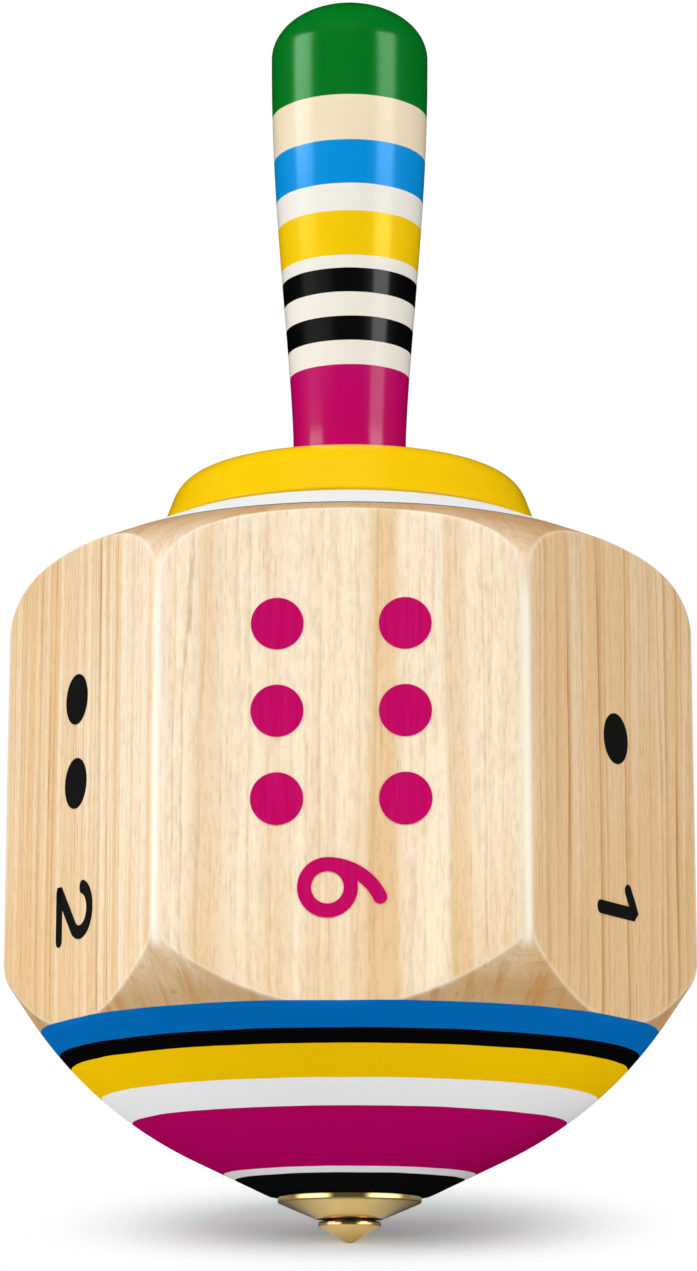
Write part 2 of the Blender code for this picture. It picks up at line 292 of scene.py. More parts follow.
rim_top = ferrule_low[2] + FERRULE_CONE_HEIGHT + FERRULE_RIM_HEIGHT
ferrule_outline = turned_outline([
    (SLEEVE_BORE, ferrule_low[2], 0.0),
    (FERRULE_FACE_RADIUS, ferrule_low[2], FERRULE_FACE_ROUND),
    (FERRULE_RADIUS, ferrule_low[2] + FERRULE_CONE_HEIGHT, FERRULE_RIM_ROUND),
    (FERRULE_RADIUS, rim_top, FERRULE_RIM_ROUND),
    (SLEEVE_RADIUS, rim_top, 0.0),
    (SLEEVE_RADIUS, ferrule_high[2], 0.0),
    (SLEEVE_BORE, ferrule_high[2], 0.0)], arc_step=8.0)
brass_ferrule = grid_mesh("turned_brass_ferrule", spun(ferrule_outline, columns=160), ends="ring")
brass_ferrule.data.materials.append(brass)
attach(brass_ferrule, "top")
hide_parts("brass_ferrule")

# Hexagonal body
# A block of pale straight-grained wood, turned to a belly and a shoulder, then planed to six flats whose
# edges are eased with sandpaper. On the lathe its underside gets enamel rings, and its shoulder a white one.

body_low, body_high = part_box("hex_body")
BODY_RADIUS = body_high[0]
FLAT_DISTANCE = body_high[1]
BODY_HEIGHT = body_high[2] - body_low[2]
NOSE_RADIUS = 0.00502
NOSE_EDGE_ROUND = 0.00008
NOSE_BORE = 0.00228
NOSE_BORE_END = 0.0088
RECESS_RADIUS = 0.00455
RECESS_DEPTH = 0.0003
BELLY_RADIUS = 0.0158
BELLY_HEIGHT = 0.0051
BELLY_ROUND = 0.0255
UNDERSIDE_HEIGHT = 0.0136
LOWER_EDGE_ROUND = 0.003
SHOULDER_CORNER = 0.03788
SHOULDER_ROUND = 0.00405
SEAT_RADIUS = 0.01235
SOCKET_RADIUS = 0.0027
SOCKET_FLOOR = 0.0293
EDGE_EASE = 0.00008
PALE_EDGE_FULLY = 0.000119
PALE_EDGE_WIDTH = 0.00034
PALE_EDGE_FADE_BELOW = 0.0006
PALE_EDGE_TOP_GAP = 0.00168
PALE_EDGE_FADE_ABOVE = 0.0028
PALE_EDGE_OTHER_EDGES = 0.4
FLATS = 6
SECTOR_COLUMNS = 56
ROWS_BELOW = 90
ROWS_ON_FLAT = 44
ROWS_ABOVE = 90


def run_along(path):
    """Distance along a path at each of its points: the sum of the straight steps before it."""
    steps = np.hypot(*np.diff(path, axis=0).T)
    return np.concatenate([[0.0], np.cumsum(steps)])


def end_grain_share(height, past_flat):
    """1 on the turned slopes, which cut across the fibres, and 0 on the flats: the side of the flat that the
    turned surface lies on, as a smooth step, times how far its slope has turned from upright."""
    turned = 0.5 - 0.5 * np.tanh(past_flat / EDGE_EASE)
    slope = np.concatenate([
        (UNDERSIDE_HEIGHT - height[:ROWS_BELOW]) / LOWER_EDGE_ROUND,
        np.zeros_like(height[ROWS_BELOW:-ROWS_ABOVE]),
        (height[-ROWS_ABOVE:] - SHOULDER_CORNER + SHOULDER_ROUND / 2.0) / SHOULDER_ROUND])
    return turned * np.clip(slope, 0.0, 1.0)


def wear_and_highlight_share(height, from_middle, past_flat):
    """Share of pale edge, which is wear and a painted highlight along the edges: 1 on the upright edges,
    fading over the pale width and towards both ends, and less along the curved edges, by a bell curve of how
    far the turned surface lies from the flat."""
    from_corner = (math.pi / FLATS - np.abs(from_middle)) * BODY_RADIUS
    upright = np.clip((PALE_EDGE_FULLY + PALE_EDGE_WIDTH - from_corner) / PALE_EDGE_WIDTH, 0.0, 1.0)
    upright = upright * np.clip((height - UNDERSIDE_HEIGHT) / PALE_EDGE_FADE_BELOW + 1.0, 0.0, 1.0)
    upright = upright * np.clip((SHOULDER_CORNER - PALE_EDGE_TOP_GAP - height) / PALE_EDGE_FADE_ABOVE, 0.0, 1.0)
    return np.maximum(upright, PALE_EDGE_OTHER_EDGES * np.exp(-(past_flat / EDGE_EASE) ** 2))


def skin_of_flats():
    """Grid of the body's outer skin, with its share of end grain and of pale edge, which is wear and a
    painted highlight, at each point.

    Each column is one direction round the axis. Its flat lies at flat distance / cos(angle from the middle
    of the flat), and the column's rows are shared out so that two of them fall where the turned outline
    crosses that flat. The radius is the smooth least of the two, (a + b) / 2 - sqrt(((a - b) / 2)^2 +
    ease^2)."""
    # The end corners that are cut off again only give the roundings next to them a direction.
    below = turned_outline([
        (RECESS_RADIUS, 0.0, 0.0), (NOSE_RADIUS, 0.0, NOSE_EDGE_ROUND),
        (BELLY_RADIUS, BELLY_HEIGHT, BELLY_ROUND), (BODY_RADIUS, UNDERSIDE_HEIGHT, LOWER_EDGE_ROUND),
        (BODY_RADIUS, BODY_HEIGHT / 2.0, 0.0)], arc_step=0.5)[1:-1]
    above = turned_outline([
        (BODY_RADIUS, BODY_HEIGHT / 2.0, 0.0), (BODY_RADIUS, SHOULDER_CORNER, SHOULDER_ROUND),
        (SEAT_RADIUS, BODY_HEIGHT, 0.0)], arc_step=0.5)[1:]

    sway = np.sin(np.linspace(-math.pi / 2.0, math.pi / 2.0, SECTOR_COLUMNS, endpoint=False))
    from_middle = np.tile(sway * math.pi / FLATS, FLATS)
    middles = np.repeat(np.arange(FLATS) * math.tau / FLATS, SECTOR_COLUMNS)
    directions = middles + from_middle - math.pi / 2.0
    flat_radius = FLAT_DISTANCE / np.cos(from_middle)

    run_below = run_along(below)
    run_above = run_along(above)
    meets_below = np.interp(flat_radius, below[:, 0], run_below)
    meets_above = np.interp(-flat_radius, -above[:, 0], run_above)
    low_edge = np.interp(meets_below, run_below, below[:, 1])
    high_edge = np.interp(meets_above, run_above, above[:, 1])

    # Rows lie closer together towards the edges of the flats.
    towards_end = np.sin(np.linspace(0.0, math.pi / 2.0, ROWS_BELOW))[:, None]
    towards_start = 1.0 - np.cos(np.linspace(0.0, math.pi / 2.0, ROWS_ABOVE))[:, None]
    both_ends = (0.5 - 0.5 * np.cos(np.linspace(0.0, math.pi, ROWS_ON_FLAT)))[1:-1, None]
    along_below = towards_end * meets_below
    along_above = meets_above + towards_start * (run_above[-1] - meets_above)
    on_flat = low_edge + both_ends * (high_edge - low_edge)
    beside_flat = np.concatenate([below, above])
    height = np.concatenate([
        np.interp(along_below, run_below, below[:, 1]),
        on_flat,
        np.interp(along_above, run_above, above[:, 1])])
    turned_radius = np.concatenate([
        np.interp(along_below, run_below, below[:, 0]),
        np.interp(on_flat, beside_flat[:, 1], beside_flat[:, 0]),
        np.interp(along_above, run_above, above[:, 0])])

    past_flat = turned_radius - flat_radius
    radius = (turned_radius + flat_radius) / 2.0 - np.sqrt((past_flat / 2.0) ** 2 + EDGE_EASE ** 2)
    grid = np.stack([
        radius * np.cos(directions), radius * np.sin(directions), body_low[2] + height], axis=-1)
    return grid, end_grain_share(height, past_flat), wear_and_highlight_share(height, from_middle, past_flat)


skin, end_grain, worn_edge = skin_of_flats()
body_columns = skin.shape[1]


def ring_of(radius, height):
    """One row of the body's grid: a circle of that radius, in the skin's own directions."""
    out = skin[ROWS_BELOW, :, :2]
    circle = radius * out / np.linalg.norm(out, axis=1, keepdims=True)
    return np.concatenate([circle, np.full((body_columns, 1), body_low[2] + height)], axis=1)[None]


nose_rings = [
    ring_of(NOSE_BORE, NOSE_BORE_END), ring_of(NOSE_BORE, RECESS_DEPTH),
    ring_of(RECESS_RADIUS, RECESS_DEPTH), ring_of(RECESS_RADIUS, 0.0)]
socket_rings = [ring_of(SOCKET_RADIUS, BODY_HEIGHT), ring_of(SOCKET_RADIUS, SOCKET_FLOOR)]
hex_body = grid_mesh(
    "planed_hex_body", np.concatenate([*nose_rings, skin, *socket_rings]), sharp_angle=48.0)
skin_start = len(nose_rings) * body_columns
for attribute, inside, on_skin in (("end_grain", 1.0, end_grain), ("worn_edge", 0.0, worn_edge)):
    values = np.full(len(hex_body.data.vertices), inside)
    values[skin_start:skin_start + on_skin.size] = on_skin.ravel()
    hex_body.data.attributes.new(attribute, "FLOAT", "POINT").data.foreach_set("value", values)

WOOD_PALE = (0.935, 0.785, 0.585, 1.0)
WOOD_TAN = (0.79, 0.54, 0.295, 1.0)
WOOD_LATE = (0.49, 0.215, 0.05, 1.0)
WOOD_END = (0.55, 0.345, 0.17, 1.0)
WOOD_SHADE = (0.36, 0.22, 0.11, 1.0)
WOOD_PORE = (0.45, 0.20, 0.06, 1.0)
WOOD_LAND_WEAR_AND_HIGHLIGHT = (0.95, 0.89, 0.78, 1.0)
PITH_MM = (-40.0, 70.0, 0.0)
YEAR_MM = 0.75
FINE_LINE_MM = 0.27
SIDE_FLATS_MM = (9.5, 12.5)
LEFT_TAN_MM = (12.0, 18.5)
LOW_TAN_AND_SHADE_MM = (12.0, 28.0)
SEAT_SHADE_MM = (38.0, 42.0)
SIDE_SHADE_MM = (4.0, 12.0)
RIGHT_SHADE_MM = (2.0, 12.0)
SLOPE_STREAKS_ROUND = 24.0
SLOPE_STREAKS_PER_MM = 0.2


def streaks(place, across, along, detail, roughness=0.5):
    """Noise drawn out along the grain, with so many features a millimetre across it and along it."""
    return place.vector("MULTIPLY", (across, across, along)).noise(1.0, detail, roughness)


def own_strength(count):
    """A strength from 0 to 1 for each growth line, drawn from its whole number."""
    whole = count.maths("FLOOR", count)
    return count.add("ShaderNodeTexWhiteNoise", {"noise_dimensions": "1D"}, {"W": whole}, "Value")


wood, place = finish("lacquered_wood", Specular_IOR_Level=0.0, Coat_Roughness=0.35)
right_mm = place.add("ShaderNodeSeparateXYZ", {}, {"Vector": place}, "X")
height_mm = right_mm.other("Z")
end = place.add("ShaderNodeAttribute", {"attribute_name": "end_grain"}, {}, "Fac")
wear_and_highlight = place.add("ShaderNodeAttribute", {"attribute_name": "worn_edge"}, {}, "Fac")
sideways = right_mm.maths("ABSOLUTE", right_mm)
on_side = ease(sideways, *SIDE_FLATS_MM)
on_right = ease(right_mm, *SIDE_FLATS_MM)
on_left = on_side - on_right

# Growth rings are cylinders round a pith outside the block, and each year darkens towards its end.
wander = streaks(place, across=0.11, along=0.012, detail=2.0)
shiver = streaks(place, across=1.1, along=0.06, detail=2.0)
from_pith = place.vector("SUBTRACT", PITH_MM).vector("MULTIPLY", (1.0, 1.0, 0.0)).vector("LENGTH")
ring_radius = from_pith + wander * 1.6 + shiver * 0.22
uneven = ring_radius.noise_along(scale=0.3, detail=1.0)
year = ring_radius / YEAR_MM + uneven * 2.4
year_share = year.maths("FRACT", year)
broken = ease(streaks(place, across=0.5, along=0.07, detail=2.0), 0.36, 0.62)
boldness = (0.35 + 0.65 * on_side + 0.4 * on_right) * (1.0 - 0.6 * end) * (0.4 + 0.6 * broken)
late_wood = (year_share ** (6.0 - 2.0 * on_right)) * (0.1 + 1.1 * own_strength(year) ** 2.0) * boldness
fine_year = ring_radius / FINE_LINE_MM + uneven * 5.0 + shiver * 0.8
fine_share = fine_year.maths("FRACT", fine_year)
fine_breaks = streaks(place, across=1.3, along=0.05, detail=1.0)
fine_lines = (fine_share ** 3.0) * fine_breaks * (0.18 + 0.024 * sideways)
fine_lines = fine_lines * (0.35 + 1.3 * own_strength(fine_year) ** 2.0)

# The ground colour goes from pale on the front to tan on the sides, most on the right, and towards the
# underside: partly the wood's own colour and partly painted light and shade, a paler front where the light
# falls, and darker sides and underside.
broad = ring_radius.noise_along(scale=0.9, detail=3.0)
clouds = streaks(place, across=0.16, along=0.035, detail=3.0)
tan_and_shade_share = 0.75 * on_right + on_left * (0.05 + ease(sideways, *LEFT_TAN_MM, top=0.65))
tan_and_shade_share = tan_and_shade_share + (1.0 - ease(height_mm, *LOW_TAN_AND_SHADE_MM)) * 0.4
bands = (broad - 0.5) * (3.0 - 0.9 * on_left - 1.9 * on_right)
colour = (tan_and_shade_share + 1.1 * clouds - 0.4 + bands).blend(WOOD_PALE, WOOD_TAN)

# End grain is darker and streaked up the slopes. Near the seat under the collar, most on the sides, and on
# the right it is darker still, which is painted shade.
colour = (end * 0.9).blend(colour, WOOD_END)
near_seat = ease(height_mm, *SEAT_SHADE_MM) * (0.28 + ease(sideways, *SIDE_SHADE_MM, top=0.26))
colour = (end * near_seat).blend(colour, WOOD_SHADE)
colour = (end * ease(right_mm, *RIGHT_SHADE_MM, top=0.25)).blend(colour, WOOD_LATE)
outward = place.vector("MULTIPLY", (1.0, 1.0, 0.0)).vector("NORMALIZE")
round_axis = outward.vector("MULTIPLY", (SLOPE_STREAKS_ROUND, SLOPE_STREAKS_ROUND, 0.0))
up_slope = round_axis.vector("ADD", place.vector("MULTIPLY", (0.0, 0.0, SLOPE_STREAKS_PER_MM)))
slope_streaks = up_slope.noise(scale=1.0, detail=4.0, roughness=0.65)
colour = (end * ease(slope_streaks, 0.44, 0.74, top=0.85)).blend(colour, WOOD_LATE)

# Lines, fibres, flecks, pores and cracks lie over the ground colour. The edges are pale: some wear, and
# a painted highlight along them.
fibres = streaks(place, across=4.5, along=0.1, detail=4.0, roughness=0.62)
flecks = streaks(place, across=5.0, along=1.1, detail=3.0, roughness=0.6)
pores = ease(streaks(place, across=7.0, along=0.4, detail=2.0, roughness=0.6), 0.66, 0.76, top=0.35)
cracks = ease(streaks(place, across=2.6, along=0.09, detail=1.0), 0.71, 0.77, top=0.45)
colour = (fine_lines * (1.0 - end) + (fibres - 0.44) * 0.5 + (flecks - 0.5) * 0.85).blend(colour, WOOD_LATE)
colour = late_wood.blend(colour, WOOD_LATE)
colour = pores.maths("MAXIMUM", pores, cracks).blend(colour, WOOD_PORE)
colour = (wear_and_highlight * 0.8).blend(colour, WOOD_LAND_WEAR_AND_HIGHLIGHT)

# The fourth value of a ring's colour is 1 where it is painted and 0 where the wood is bare.
BLACK_ENAMEL = (0.002, 0.002, 0.002, 1.0)
WHITE_ENAMEL = (0.855, 0.805, 0.82, 1.0)
SHADED_RING_WHITE = (0.725, 0.735, 0.735, 1.0)
# The nose's black is a little lighter than the other black: a painted sheen where the nose is seen at a
# slant.
NOSE_BLACK_WITH_SHEEN = (0.0045, 0.0045, 0.0045, 1.0)
MAGENTA_ENAMEL = (0.435, 0.001, 0.105, 1.0)
YELLOW_ENAMEL = (0.87, 0.50, 0.001, 1.0)
BLUE_ENAMEL = (0.001, 0.13, 0.435, 1.0)
SHADOW_LINE_GREY = (0.16, 0.17, 0.20, 1.0)
BARE = (0.9, 0.7, 0.5, 0.0)
UNDERSIDE_RINGS = [
    (NOSE_BLACK_WITH_SHEEN, 0.00093), (WHITE_ENAMEL, 0.00034), (MAGENTA_ENAMEL, 0.00304), (WHITE_ENAMEL, 0.00147),
    (YELLOW_ENAMEL, 0.0018), (BLACK_ENAMEL, 0.00075), (BLUE_ENAMEL, 0.00163), (BARE, BODY_HEIGHT)]
SHOULDER_RING_HEIGHT = 0.0018
SHADOW_LINE_HEIGHT = 0.0002
BRUSH_WOBBLE_MM = 0.06


def ring_stops(rings, total):
    """Stops of a stepped ramp: each ring starts at the sum of the heights before it, as a share of the
    total. The last ring runs on to the end or to the next stop."""
    starts = np.concatenate([[0.0], np.cumsum([height for colour, height in rings])]) / total
    return [(start, colour) for start, (colour, height) in zip(starts, rings)]


def painted_rings(height_mm, wobble, base, length, stops):
    """Colour of the ring at each height: a stepped ramp over (height - base + wobble) / length."""
    way_up = height_mm - base * 1000.0 + (wobble - 0.5) * BRUSH_WOBBLE_MM
    return way_up.add(
        "ShaderNodeValToRGB", {"interpolation": "CONSTANT", "stops": stops},
        {"Fac": way_up / (length * 1000.0)}, "Color")


# The shoulder's white ring is a darker, cooler copy of white, painted shade under the collar that also
# cancels its yellow light, and the grey line below the ring is a painted shadow line.
shoulder_ring = 1.0 - SHOULDER_RING_HEIGHT / BODY_HEIGHT
shadow_line = shoulder_ring - SHADOW_LINE_HEIGHT / BODY_HEIGHT
body_stops = ring_stops(UNDERSIDE_RINGS, BODY_HEIGHT) + [(shadow_line, SHADOW_LINE_GREY), (shoulder_ring, SHADED_RING_WHITE)]
wobble = streaks(place, across=0.35, along=0.35, detail=1.0)
enamel = painted_rings(height_mm, wobble, body_low[2], BODY_HEIGHT, body_stops)
painted = enamel.other("Alpha")
painted.blend(colour, enamel).feeds("Base Color")
paint_flow = place.noise(scale=0.9, detail=3.0)
bare_roughness = 0.4 + 0.12 * fibres + 0.12 * end
(bare_roughness + painted * (0.34 + 0.08 * paint_flow - bare_roughness)).feeds("Roughness")
((1.0 - painted) * (0.5 - 0.35 * end + 0.3 * wear_and_highlight)).feeds("Coat Weight")
relief = (1.0 - painted) * (fibres * 0.5 - pores * 0.6) + painted * (1.2 + 0.25 * paint_flow)
relief.raises(strength=0.22, distance=0.00003)
hex_body.data.materials.append(wood)
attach(hex_body, "top")
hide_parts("hex_body")

# Collar
# A low domed ring turned from wood and sprayed with yellow enamel. It sits on the body's flat seat, glued
# down, and the handle's tenon passes through it.

collar_low, collar_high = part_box("collar")
COLLAR_RADIUS = collar_high[0]
COLLAR_FLANK_INSET = 0.0012
COLLAR_CREST_HEIGHT = 0.0032
COLLAR_CREST_ROUND = 0.0023
COLLAR_BASE_ROUND = 0.0002
COLLAR_TOP_RADIUS = 0.00382
COLLAR_BORE = 0.0027

collar_outline = turned_outline([
    (COLLAR_BORE, collar_low[2], 0.0),
    (COLLAR_RADIUS, collar_low[2], COLLAR_BASE_ROUND),
    (COLLAR_RADIUS - COLLAR_FLANK_INSET, collar_low[2] + COLLAR_CREST_HEIGHT, COLLAR_CREST_ROUND),
    (COLLAR_TOP_RADIUS, collar_high[2], 0.0),
    (COLLAR_BORE, collar_high[2], 0.0)], arc_step=2.0)
collar = grid_mesh("enamelled_collar", spun(collar_outline, columns=192), ends="ring")

COLLAR_YELLOW = (0.89, 0.555, 0.001, 1.0)
COLLAR_YELLOW_THIN = (0.85, 0.50, 0.001, 1.0)
collar_enamel, place = finish("yellow_enamel", Specular_IOR_Level=0.18)
flow = place.noise(scale=0.35, detail=4.0)
orange_peel = place.noise(scale=2.2, detail=2.0)
((flow - 0.35) * 1.5).blend(COLLAR_YELLOW, COLLAR_YELLOW_THIN).feeds("Base Color")
(0.12 + 0.08 * flow + 0.04 * orange_peel).feeds("Roughness")
orange_peel.raises(strength=0.12, distance=0.00003)
collar.data.materials.append(collar_enamel)
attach(collar, "top")
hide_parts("collar")

# Handle
# A turned wooden grip that swells towards its domed top, painted in rings of gloss enamel while it spins on
# the lathe. Its tenon runs down through the collar and is glued into the body's socket.

handle_low, handle_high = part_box("handle")
HANDLE_GLUE_GAP = 0.0001
HANDLE_BASE = collar_high[2] + HANDLE_GLUE_GAP
HANDLE_LENGTH = handle_high[2] - HANDLE_BASE
HANDLE_FOOT_RADIUS = 0.00362
HANDLE_TOP_RADIUS = handle_high[0]
HANDLE_SWELL = 1.35
HANDLE_FOOT_STRAIGHT = 0.0012
HANDLE_DOME_HEIGHT = 0.0035
TENON_RADIUS = 0.0026
TENON_END_CHAMFER = 0.0004
GRIP_ROWS = 80
DOME_ROWS = 40


def handle_outline():
    """Tenon, grip and dome. Above its straight foot the grip's radius goes from foot to top as
    sin(quarter turn x share of the way up)^swell, and the dome is a quarter of an ellipse."""
    grip_length = HANDLE_LENGTH - HANDLE_DOME_HEIGHT
    height = np.linspace(0.0, 1.0, GRIP_ROWS) * grip_length
    way_up = np.clip((height - HANDLE_FOOT_STRAIGHT) / (grip_length - HANDLE_FOOT_STRAIGHT), 0.0, 1.0)
    swell = np.sin(way_up * math.pi / 2.0) ** HANDLE_SWELL
    grip_radius = HANDLE_FOOT_RADIUS + (HANDLE_TOP_RADIUS - HANDLE_FOOT_RADIUS) * swell
    grip = np.stack([grip_radius, HANDLE_BASE + height], axis=1)
    lift = np.linspace(0.0, math.pi / 2.0, DOME_ROWS)[1:-1]
    dome = np.stack([
        HANDLE_TOP_RADIUS * np.cos(lift),
        HANDLE_BASE + grip_length + HANDLE_DOME_HEIGHT * np.sin(lift)], axis=1)
    tenon = np.array([
        (TENON_RADIUS - TENON_END_CHAMFER, handle_low[2]),
        (TENON_RADIUS, handle_low[2] + TENON_END_CHAMFER),
        (TENON_RADIUS, HANDLE_BASE)])
    return np.concatenate([tenon, grip, dome])


handle = grid_mesh("enamelled_handle", spun(handle_outline(), columns=160))

# The fourth value of a ring's colour is its gloss: none tints its highlight, and more than a white's adds a
# clear coat.
WHITE_GLOSS = 0.3
HANDLE_MAGENTA = (0.51, 0.0005, 0.14, 0.7)
HANDLE_WHITE = (0.86, 0.825, 0.755, WHITE_GLOSS)
HANDLE_BLACK = (0.002, 0.002, 0.0022, 1.0)
HANDLE_YELLOW = (0.99, 0.64, 0.0005, 0.0)
HANDLE_BLUE = (0.0005, 0.30, 0.765, 0.0)
HANDLE_CREAM = (0.86, 0.73, 0.515, WHITE_GLOSS)
HANDLE_GREEN = (0.0005, 0.19, 0.015, 0.0)
HANDLE_RINGS = [
    (HANDLE_MAGENTA, 0.0054), (HANDLE_WHITE, 0.00153), (HANDLE_BLACK, 0.00155), (HANDLE_WHITE, 0.00155),
    (HANDLE_BLACK, 0.00161), (HANDLE_WHITE, 0.00076), (HANDLE_YELLOW, 0.00295), (HANDLE_WHITE, 0.00177),
    (HANDLE_BLUE, 0.00286), (HANDLE_CREAM, 0.00297), (HANDLE_GREEN, HANDLE_LENGTH)]
BRUSH_LINES_PER_MM = 5.0

handle_enamel, place = finish("ringed_enamel", Specular_IOR_Level=0.3, Coat_Roughness=0.15)
height_mm = place.add("ShaderNodeSeparateXYZ", {}, {"Vector": place}, "Z")
wobble = place.noise(scale=0.4, detail=1.0)
brush = (height_mm * BRUSH_LINES_PER_MM).noise_along(scale=1.0, detail=4.0)
flow = place.noise(scale=0.5, detail=4.0)
handle_stops = ring_stops(HANDLE_RINGS, HANDLE_LENGTH)
rings = painted_rings(height_mm, wobble, HANDLE_BASE, HANDLE_LENGTH, handle_stops)
brushed = {"Value": 0.96 + 0.05 * flow + 0.03 * brush, "Color": rings}
place.add("ShaderNodeHueSaturation", {}, brushed, "Color").feeds("Base Color")
gloss = rings.other("Alpha")
ease(gloss, WHITE_GLOSS, 1.0, top=0.7).feeds("Coat Weight")
((1.0 - ease(gloss, 0.0, WHITE_GLOSS)) * 0.11).feeds("Metallic")
(0.175 - 0.05 * gloss + 0.04 * flow + 0.02 * brush).feeds("Roughness")
(brush + flow).raises(strength=0.05, distance=0.00003)
handle.data.materials.append(handle_enamel)
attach(handle, "top")
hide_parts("handle")

# Printed numbers
# Each flat carries its number and as many dots, screen printed across the grain in thick ink, magenta on
# every other flat and black between. The figures lie on their side and read down the body.

INK_HEIGHT = 0.00003
INK_DEPTH = 0.00004
STROKE_LIFT = 0.000004
FIGURE_HEIGHT = 0.0051
FIGURE_STROKE = 0.00082
DOT_RADIUS = 0.00155
ROW_PITCH = 0.0052
COLUMN_OFFSET = 0.00375
BLOCK_MIDDLE = 0.0271
MIDDLE_ROW = 2.5
FIGURE_ROW = 4
CAP_ROWS = 10
DOT_ROWS = 40
NUMBERS_ROUND = (6, 1, 4, 3, 5, 2)
DOT_PLACES = {
    1: [(2, 0)],
    2: [(1.5, 0), (2.5, 0)],
    3: [(1, 0), (2, 0), (3, 0)],
    4: [(1.5, -1), (1.5, 1), (2.5, -1), (2.5, 1)],
    5: [(1, -1), (1, 1), (2, 0), (3, -1), (3, 1)],
    6: [(1, -1), (1, 1), (2, -1), (2, 1), (3, -1), (3, 1)]}


def arc(centre_x, centre_y, radius, start, end):
    """Points on a circle from one angle to another, in degrees, 3 degrees apart."""
    angles = np.radians(np.linspace(start, end, 2 + int(abs(end - start) / 3.0)))
    return np.stack([centre_x + radius * np.cos(angles), centre_y + radius * np.sin(angles)], axis=1)


def figure_strokes(number):
    """Centre lines of a figure's pen strokes, as (across, up) with the figure one unit tall."""
    line = np.array
    if number == 1:
        return [line([(-0.24, 0.76), (0.02, 0.94), (0.02, 0.06)])]
    if number == 2:
        return [np.concatenate([arc(0.0, 0.67, 0.27, 165.0, -38.0), line([(-0.28, 0.08), (0.31, 0.08)])])]
    if number == 3:
        return [np.concatenate([arc(0.0, 0.715, 0.225, 155.0, -90.0), arc(0.0, 0.285, 0.225, 90.0, -155.0)])]
    if number == 4:
        return [line([(0.13, 0.06), (0.13, 0.93), (-0.33, 0.28), (0.33, 0.28)])]
    if number == 5:
        flag = line([(0.25, 0.92), (-0.2, 0.92), (-0.24, 0.52)])
        return [np.concatenate([flag, arc(0.0, 0.345, 0.275, 140.0, -150.0)])]
    return [arc(0.0, 0.345, 0.265, 180.0, 540.0), arc(0.4, 0.345, 0.665, 180.0, 116.0)]


def pen_stroke(path, width):
    """Both edges of a pen stroke: points evenly spaced along the path, half a width to either side of its
    direction, with round ends where the half width falls off as the sine of the angle."""
    run = run_along(path)
    even = np.linspace(0.0, run[-1], 3 * len(path) + 12)
    centre = np.stack([np.interp(even, run, path[:, 0]), np.interp(even, run, path[:, 1])], axis=1)
    ahead = np.gradient(centre, axis=0)
    ahead /= np.linalg.norm(ahead, axis=1, keepdims=True)
    cap = np.radians(np.linspace(2.0, 88.0, CAP_ROWS))
    start = centre[0] - 0.5 * width * np.cos(cap)[:, None] * ahead[0]
    stop = centre[-1] + 0.5 * width * np.cos(cap[::-1])[:, None] * ahead[-1]
    middle = np.concatenate([start, centre, stop])
    ahead = np.concatenate([
        np.repeat(ahead[:1], CAP_ROWS, axis=0), ahead, np.repeat(ahead[-1:], CAP_ROWS, axis=0)])
    half = 0.5 * width * np.concatenate([np.sin(cap), np.ones(len(centre)), np.sin(cap[::-1])])
    beside = np.stack([-ahead[:, 1], ahead[:, 0]], axis=1) * half[:, None]
    return middle + beside, middle - beside


def dot_stroke(across, up):
    """Both edges of a round dot, as a pen stroke of no length: half a circle above, half a circle below."""
    cap = np.radians(np.linspace(2.0, 178.0, DOT_ROWS))
    half = DOT_RADIUS * np.sin(cap)[:, None] * np.array([0.0, 1.0])
    middle = np.array([across, up]) - DOT_RADIUS * np.cos(cap)[:, None] * np.array([1.0, 0.0])
    return middle + half, middle - half


def row_height(row):
    """Height of a row of print, counted from the top, about the middle of the block of four."""
    return BLOCK_MIDDLE + ROW_PITCH * (MIDDLE_ROW - row)


def print_number(number, turn, ink):
    """Print one flat, turned to face that way: its dots in rows 1 to 3 from the top, its figure in row 4.
    Each stroke is a flat bar of ink between its two edges, a little higher than the stroke before it."""
    strokes = [dot_stroke(side * COLUMN_OFFSET, row_height(row)) for row, side in DOT_PLACES[number]]
    for path in figure_strokes(number):
        across = (path[:, 1] - 0.5) * FIGURE_HEIGHT
        up = row_height(FIGURE_ROW) - path[:, 0] * FIGURE_HEIGHT
        strokes.append(pen_stroke(np.stack([across, up], axis=1), FIGURE_STROKE))
    outward = np.array([math.sin(turn), -math.cos(turn), 0.0])
    sideways = np.array([math.cos(turn), math.sin(turn), 0.0])
    upward = np.array([0.0, 0.0, 1.0])
    points = []
    faces = []
    count = 0
    for index, (one_edge, other_edge) in enumerate(strokes):
        top = FLAT_DISTANCE + INK_HEIGHT + index * STROKE_LIFT
        under = top - INK_DEPTH
        loop = [(one_edge, top), (other_edge, top), (other_edge, under), (one_edge, under)]
        bar = np.stack([
            edge[:, :1] * sideways + edge[:, 1:] * upward + depth * outward for edge, depth in loop], axis=1)
        corner = count + np.arange(bar.shape[0] * 4).reshape(-1, 4)
        beside = np.roll(corner, -1, axis=1)
        sides = np.stack([corner[:-1], beside[:-1], beside[1:], corner[1:]], axis=-1)
        faces += sides.reshape(-1, 4).tolist()
        faces += [corner[0, ::-1].tolist(), corner[-1].tolist()]
        points.append(bar.reshape(-1, 3))
        count += corner.size
    mesh = bpy.data.meshes.new(f"printed_number_{number}")
    mesh.from_pydata(np.concatenate(points), [], faces)
    piece = bpy.data.objects.new(f"printed_number_{number}", mesh)
    bpy.context.scene.collection.objects.link(piece)
    mesh.materials.append(ink)
    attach(piece, "top")


